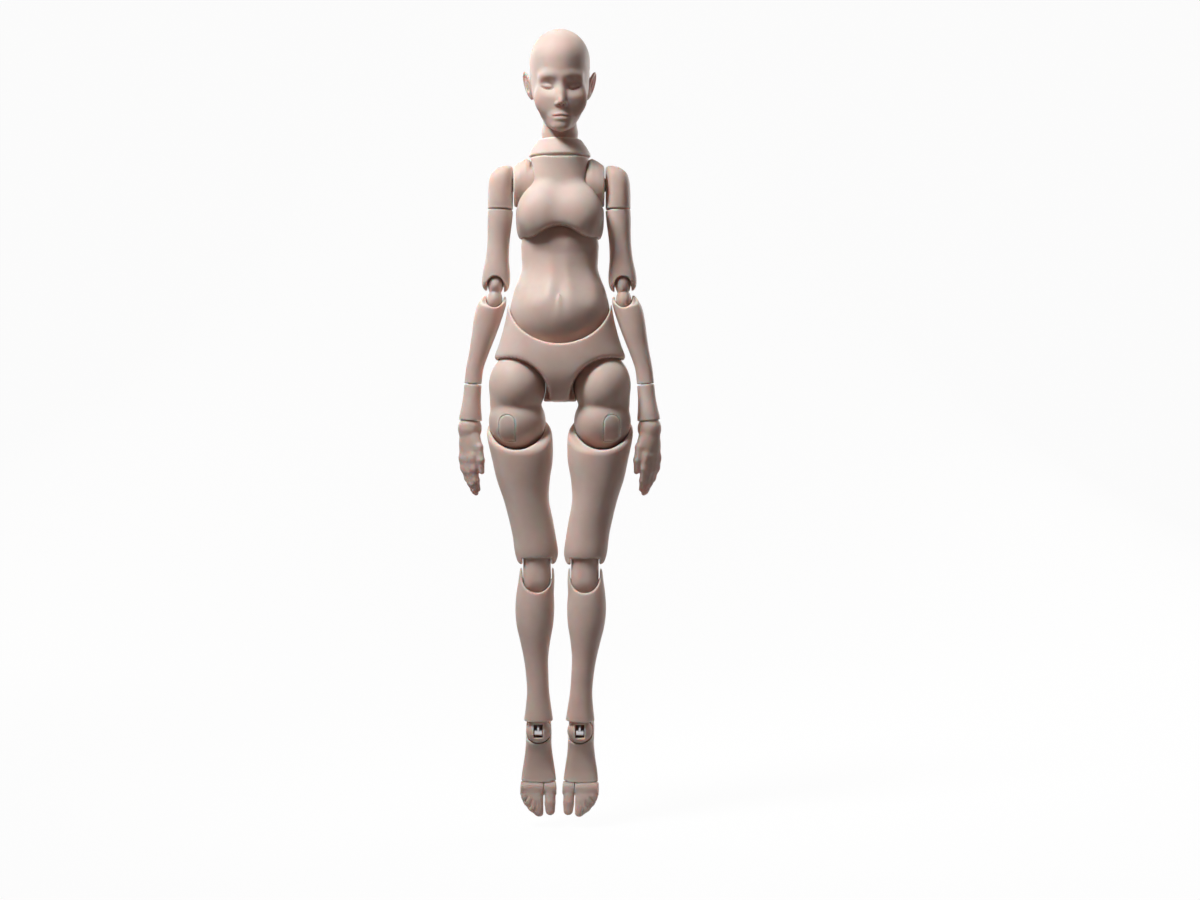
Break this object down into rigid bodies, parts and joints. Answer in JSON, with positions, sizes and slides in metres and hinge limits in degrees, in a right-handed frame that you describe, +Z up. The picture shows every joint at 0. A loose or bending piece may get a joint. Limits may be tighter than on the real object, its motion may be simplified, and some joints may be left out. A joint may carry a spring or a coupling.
{
  "type": "ball-jointed action figure body",
  "caption": "Strung resin figure body with bald head, ball-and-socket and double-lobed joints, turning limbs, hinged toes and steel hooks inside.",
  "frame": {"origin": "middle of the flat saddle under the pelvis, where a doll stand holds the figure", "axes": "+Z up through the head, the figure faces -Y, its own right side lies at -X"},
  "size_m": [0.0747, 0.0349, 0.2884],
  "materials": {
    "resin": "satin",
    "steel": "satin"
  },
  "bodies": {
    "pelvis": {"pelvis": "resin"},
    "belly": {"belly": "resin"},
    "chest": {"chest": "resin"},
    "neck_base": {"neck_base": "resin"},
    "neck": {"neck": "resin"},
    "head": {"head_face": "resin", "neck_hook": "steel"},
    "head_cap": {"head_cap": "resin"},
    "right_yoke": {"right_yoke": "resin"},
    "right_shoulder": {"right_shoulder": "resin"},
    "right_upper_arm": {"right_upper_arm": "resin"},
    "right_elbow": {"right_elbow": "resin"},
    "right_forearm": {"right_forearm": "resin"},
    "right_wrist_sleeve": {"right_wrist_sleeve": "resin"},
    "right_hand": {"right_hand": "resin", "right_hand_hook": "steel"},
    "right_hip": {"right_hip": "resin", "right_slot_plug": "resin"},
    "right_thigh": {"right_thigh": "resin"},
    "right_knee": {"right_knee": "resin"},
    "right_shin": {"right_shin": "resin"},
    "right_ankle_ball": {"right_ankle_ball": "resin", "right_ankle_hook": "steel"},
    "right_foot": {"right_foot": "resin"},
    "right_big_toe": {"right_big_toe": "resin"},
    "right_small_toes": {"right_small_toes": "resin"},
    "left_yoke": {"left_yoke": "resin"},
    "left_shoulder": {"left_shoulder": "resin"},
    "left_upper_arm": {"left_upper_arm": "resin"},
    "left_elbow": {"left_elbow": "resin"},
    "left_forearm": {"left_forearm": "resin"},
    "left_wrist_sleeve": {"left_wrist_sleeve": "resin"},
    "left_hand": {"left_hand": "resin", "left_hand_hook": "steel"},
    "left_hip": {"left_hip": "resin", "left_slot_plug": "resin"},
    "left_thigh": {"left_thigh": "resin"},
    "left_knee": {"left_knee": "resin"},
    "left_shin": {"left_shin": "resin"},
    "left_ankle_ball": {"left_ankle_ball": "resin", "left_ankle_hook": "steel"},
    "left_foot": {"left_foot": "resin"},
    "left_big_toe": {"left_big_toe": "resin"},
    "left_small_toes": {"left_small_toes": "resin"}
  },
  "joints": [
    {"name": "waist_bend", "type": "hinge", "parent": "pelvis", "child": "belly", "pos_m": [0, 0.001, 0.0332], "axis": [1, 0, 0], "range_deg": [-8, 14]},
    {"name": "chest_bend", "type": "hinge", "parent": "belly", "child": "chest", "pos_m": [0, 0.001, 0.0575], "axis": [1, 0, 0], "range_deg": [-8, 10]},
    {"name": "collar_tilt", "type": "hinge", "parent": "chest", "child": "neck_base", "pos_m": [0, 0.001, 0.09626], "axis": [1, 0, 0], "range_deg": [-3, 3]},
    {"name": "neck_nod", "type": "hinge", "parent": "neck_base", "child": "neck", "pos_m": [0, 0.001, 0.09816], "axis": [1, 0, 0], "range_deg": [-14, 14]},
    {"name": "head_turn", "type": "hinge", "parent": "neck", "child": "head", "pos_m": [0, 0.00013, 0.10641], "axis": [0, -0.1045, 0.9945], "range_deg": [-60, 60]},
    {"name": "head_cap_lift", "type": "slide", "parent": "head", "child": "head_cap", "axis": [-0.0523, 0.9932, 0.1044], "range_m": [0, 0.022]},
    {"name": "right_yoke_turn", "type": "hinge", "parent": "chest", "child": "right_yoke", "pos_m": [-0.0119, 0.001, 0.0796], "axis": [0, 0, 1], "range_deg": [-12, 12]},
    {"name": "right_shoulder_swing", "type": "hinge", "parent": "right_yoke", "child": "right_shoulder", "pos_m": [-0.0169, 0.001, 0.0796], "axis": [-1, 0, 0], "range_deg": [-35, 140]},
    {"name": "right_upper_arm_turn", "type": "hinge", "parent": "right_shoulder", "child": "right_upper_arm", "pos_m": [-0.0218, 0.001, 0.0704], "axis": [-0.0645, 0, -0.9979], "range_deg": [-32, 45]},
    {"name": "right_elbow_upper_bend", "type": "hinge", "parent": "right_upper_arm", "child": "right_elbow", "pos_m": [-0.02357, 0.001, 0.04296], "axis": [-0.9979, 0, 0.0645], "range_deg": [0, 55]},
    {"name": "right_elbow_lower_bend", "type": "hinge", "parent": "right_elbow", "child": "right_forearm", "pos_m": [-0.02393, 0.001, 0.03747], "axis": [-0.9979, 0, 0.0645], "range_deg": [0, 60]},
    {"name": "right_forearm_turn", "type": "hinge", "parent": "right_forearm", "child": "right_wrist_sleeve", "pos_m": [-0.03193, 0.001, 0.00673], "axis": [0.0698, 0, 0.9976], "range_deg": [-80, 80]},
    {"name": "right_wrist_bend", "type": "hinge", "parent": "right_wrist_sleeve", "child": "right_hand", "pos_m": [-0.03306, 0.001, -0.00944], "axis": [-0.6445, 0.7642, -0.0249], "range_deg": [-12, 35]},
    {"name": "right_hip_swing", "type": "hinge", "parent": "pelvis", "child": "right_hip", "pos_m": [-0.0156, 0, 0.0059], "axis": [-1, 0, 0], "range_deg": [-10, 60]},
    {"name": "right_thigh_swing", "type": "hinge", "parent": "right_hip", "child": "right_thigh", "pos_m": [-0.0156, 0, -0.007], "axis": [-1, 0, 0], "range_deg": [-4, 32]},
    {"name": "right_knee_upper_bend", "type": "hinge", "parent": "right_thigh", "child": "right_knee", "pos_m": [-0.00834, 0, -0.0565], "axis": [1, 0, 0], "range_deg": [0, 50]},
    {"name": "right_knee_lower_bend", "type": "hinge", "parent": "right_knee", "child": "right_shin", "pos_m": [-0.00834, 0, -0.065], "axis": [1, 0, 0], "range_deg": [0, 50]},
    {"name": "right_ankle_bend", "type": "hinge", "parent": "right_shin", "child": "right_ankle_ball", "pos_m": [-0.00784, 0, -0.1204], "axis": [-1, 0, 0], "range_deg": [0, 60]},
    {"name": "right_foot_tilt", "type": "hinge", "parent": "right_ankle_ball", "child": "right_foot", "pos_m": [-0.00784, 0, -0.1204], "axis": [0, 0.2588, 0.9659], "range_deg": [-2, 9]},
    {"name": "right_big_toe_bend", "type": "hinge", "parent": "right_foot", "child": "right_big_toe", "pos_m": [-0.00784, 0.00159, -0.14153], "axis": [-1, 0, 0], "range_deg": [-10, 40]},
    {"name": "right_small_toes_bend", "type": "hinge", "parent": "right_foot", "child": "right_small_toes", "pos_m": [-0.00784, 0.00159, -0.14153], "axis": [-1, 0, 0], "range_deg": [-10, 40]},
    {"name": "left_yoke_turn", "type": "hinge", "parent": "chest", "child": "left_yoke", "pos_m": [0.0114, 0.001, 0.0796], "axis": [0, 0, -1], "range_deg": [-12, 12]},
    {"name": "left_shoulder_swing", "type": "hinge", "parent": "left_yoke", "child": "left_shoulder", "pos_m": [0.0164, 0.001, 0.0796], "axis": [-1, 0, 0], "range_deg": [-35, 140]},
    {"name": "left_upper_arm_turn", "type": "hinge", "parent": "left_shoulder", "child": "left_upper_arm", "pos_m": [0.0213, 0.001, 0.0704], "axis": [-0.0645, 0, 0.9979], "range_deg": [-18, 45]},
    {"name": "left_elbow_upper_bend", "type": "hinge", "parent": "left_upper_arm", "child": "left_elbow", "pos_m": [0.02307, 0.001, 0.04296], "axis": [-0.9979, 0, -0.0645], "range_deg": [0, 55]},
    {"name": "left_elbow_lower_bend", "type": "hinge", "parent": "left_elbow", "child": "left_forearm", "pos_m": [0.02343, 0.001, 0.03747], "axis": [-0.9979, 0, -0.0645], "range_deg": [0, 60]},
    {"name": "left_forearm_turn", "type": "hinge", "parent": "left_forearm", "child": "left_wrist_sleeve", "pos_m": [0.03143, 0.001, 0.00673], "axis": [0.0872, 0, -0.9962], "range_deg": [-80, 20]},
    {"name": "left_wrist_bend", "type": "hinge", "parent": "left_wrist_sleeve", "child": "left_hand", "pos_m": [0.03284, 0.001, -0.00941], "axis": [-0.7093, -0.7044, 0.0254], "range_deg": [-5, 35]},
    {"name": "left_hip_swing", "type": "hinge", "parent": "pelvis", "child": "left_hip", "pos_m": [0.0156, 0, 0.0059], "axis": [-1, 0, 0], "range_deg": [-10, 60]},
    {"name": "left_thigh_swing", "type": "hinge", "parent": "left_hip", "child": "left_thigh", "pos_m": [0.0156, 0, -0.007], "axis": [-0.9998, 0, -0.0175], "range_deg": [-4, 32]},
    {"name": "left_knee_upper_bend", "type": "hinge", "parent": "left_thigh", "child": "left_knee", "pos_m": [0.0092, 0, -0.05662], "axis": [1, 0, -0.0035], "range_deg": [0, 50]},
    {"name": "left_knee_lower_bend", "type": "hinge", "parent": "left_knee", "child": "left_shin", "pos_m": [0.00918, 0, -0.06512], "axis": [0.9997, 0, -0.0244], "range_deg": [0, 50]},
    {"name": "left_ankle_bend", "type": "hinge", "parent": "left_shin", "child": "left_ankle_ball", "pos_m": [0.00732, 0, -0.12049], "axis": [-1, 0, 0], "range_deg": [0, 60]},
    {"name": "left_foot_tilt", "type": "hinge", "parent": "left_ankle_ball", "child": "left_foot", "pos_m": [0.00732, 0, -0.12049], "axis": [-0.036, -0.2563, -0.9659], "range_deg": [-2, 9]},
    {"name": "left_big_toe_bend", "type": "hinge", "parent": "left_foot", "child": "left_big_toe", "pos_m": [0.00754, 0.00157, -0.14162], "axis": [-0.9903, 0.1392, 0], "range_deg": [-10, 40]},
    {"name": "left_small_toes_bend", "type": "hinge", "parent": "left_foot", "child": "left_small_toes", "pos_m": [0.00754, 0.00157, -0.14162], "axis": [-0.9903, 0.1392, 0], "range_deg": [-10, 40]}
  ]
}
